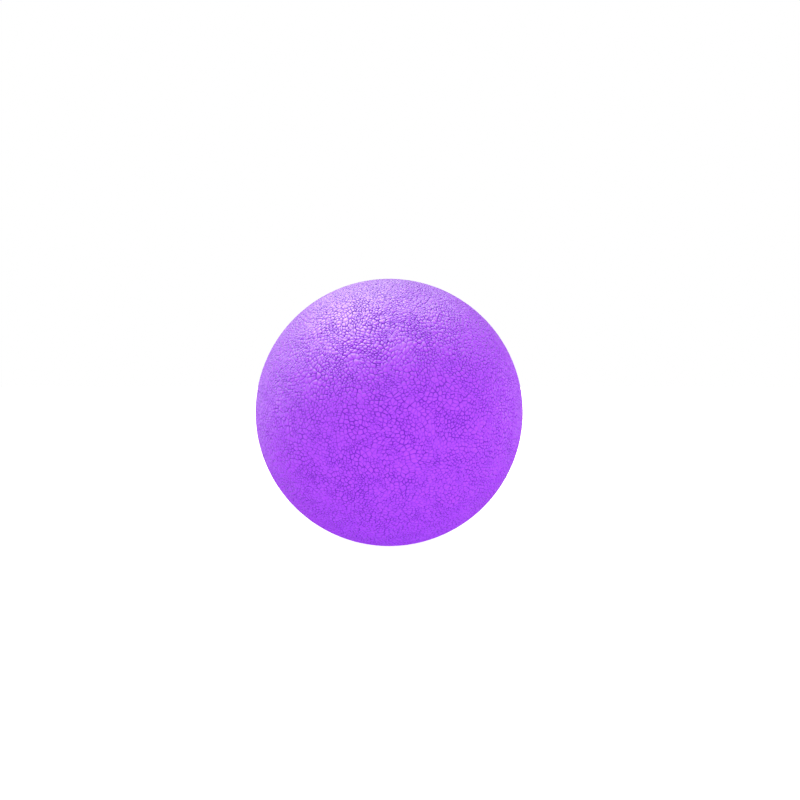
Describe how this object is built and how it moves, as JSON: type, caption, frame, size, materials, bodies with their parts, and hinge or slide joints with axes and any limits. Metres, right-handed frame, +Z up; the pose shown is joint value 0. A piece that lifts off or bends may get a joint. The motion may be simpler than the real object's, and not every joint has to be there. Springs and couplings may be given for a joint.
{
  "type": "playground ball",
  "caption": "Inflated round rubber ball with a fine pebbled grain, a flush needle valve and a faint parting line.",
  "frame": {"origin": "centre of the ball", "axes": "+Y out through the valve, along the axis that every piece is turned about; +Z up; the cover's parting line lies in the XZ plane"},
  "size_m": [0.216, 0.216, 0.216],
  "materials": {
    "cover": "satin",
    "winding": "matte",
    "bladder": "matte",
    "patch": "matte",
    "valve": "satin",
    "plug": "satin"
  },
  "bodies": {
    "root": {"cover_front": "cover", "cover_back": "cover", "winding": "winding", "bladder": "bladder", "valve_patch": "patch", "valve_housing": "valve", "valve_plug": "plug"}
  },
  "joints": []
}
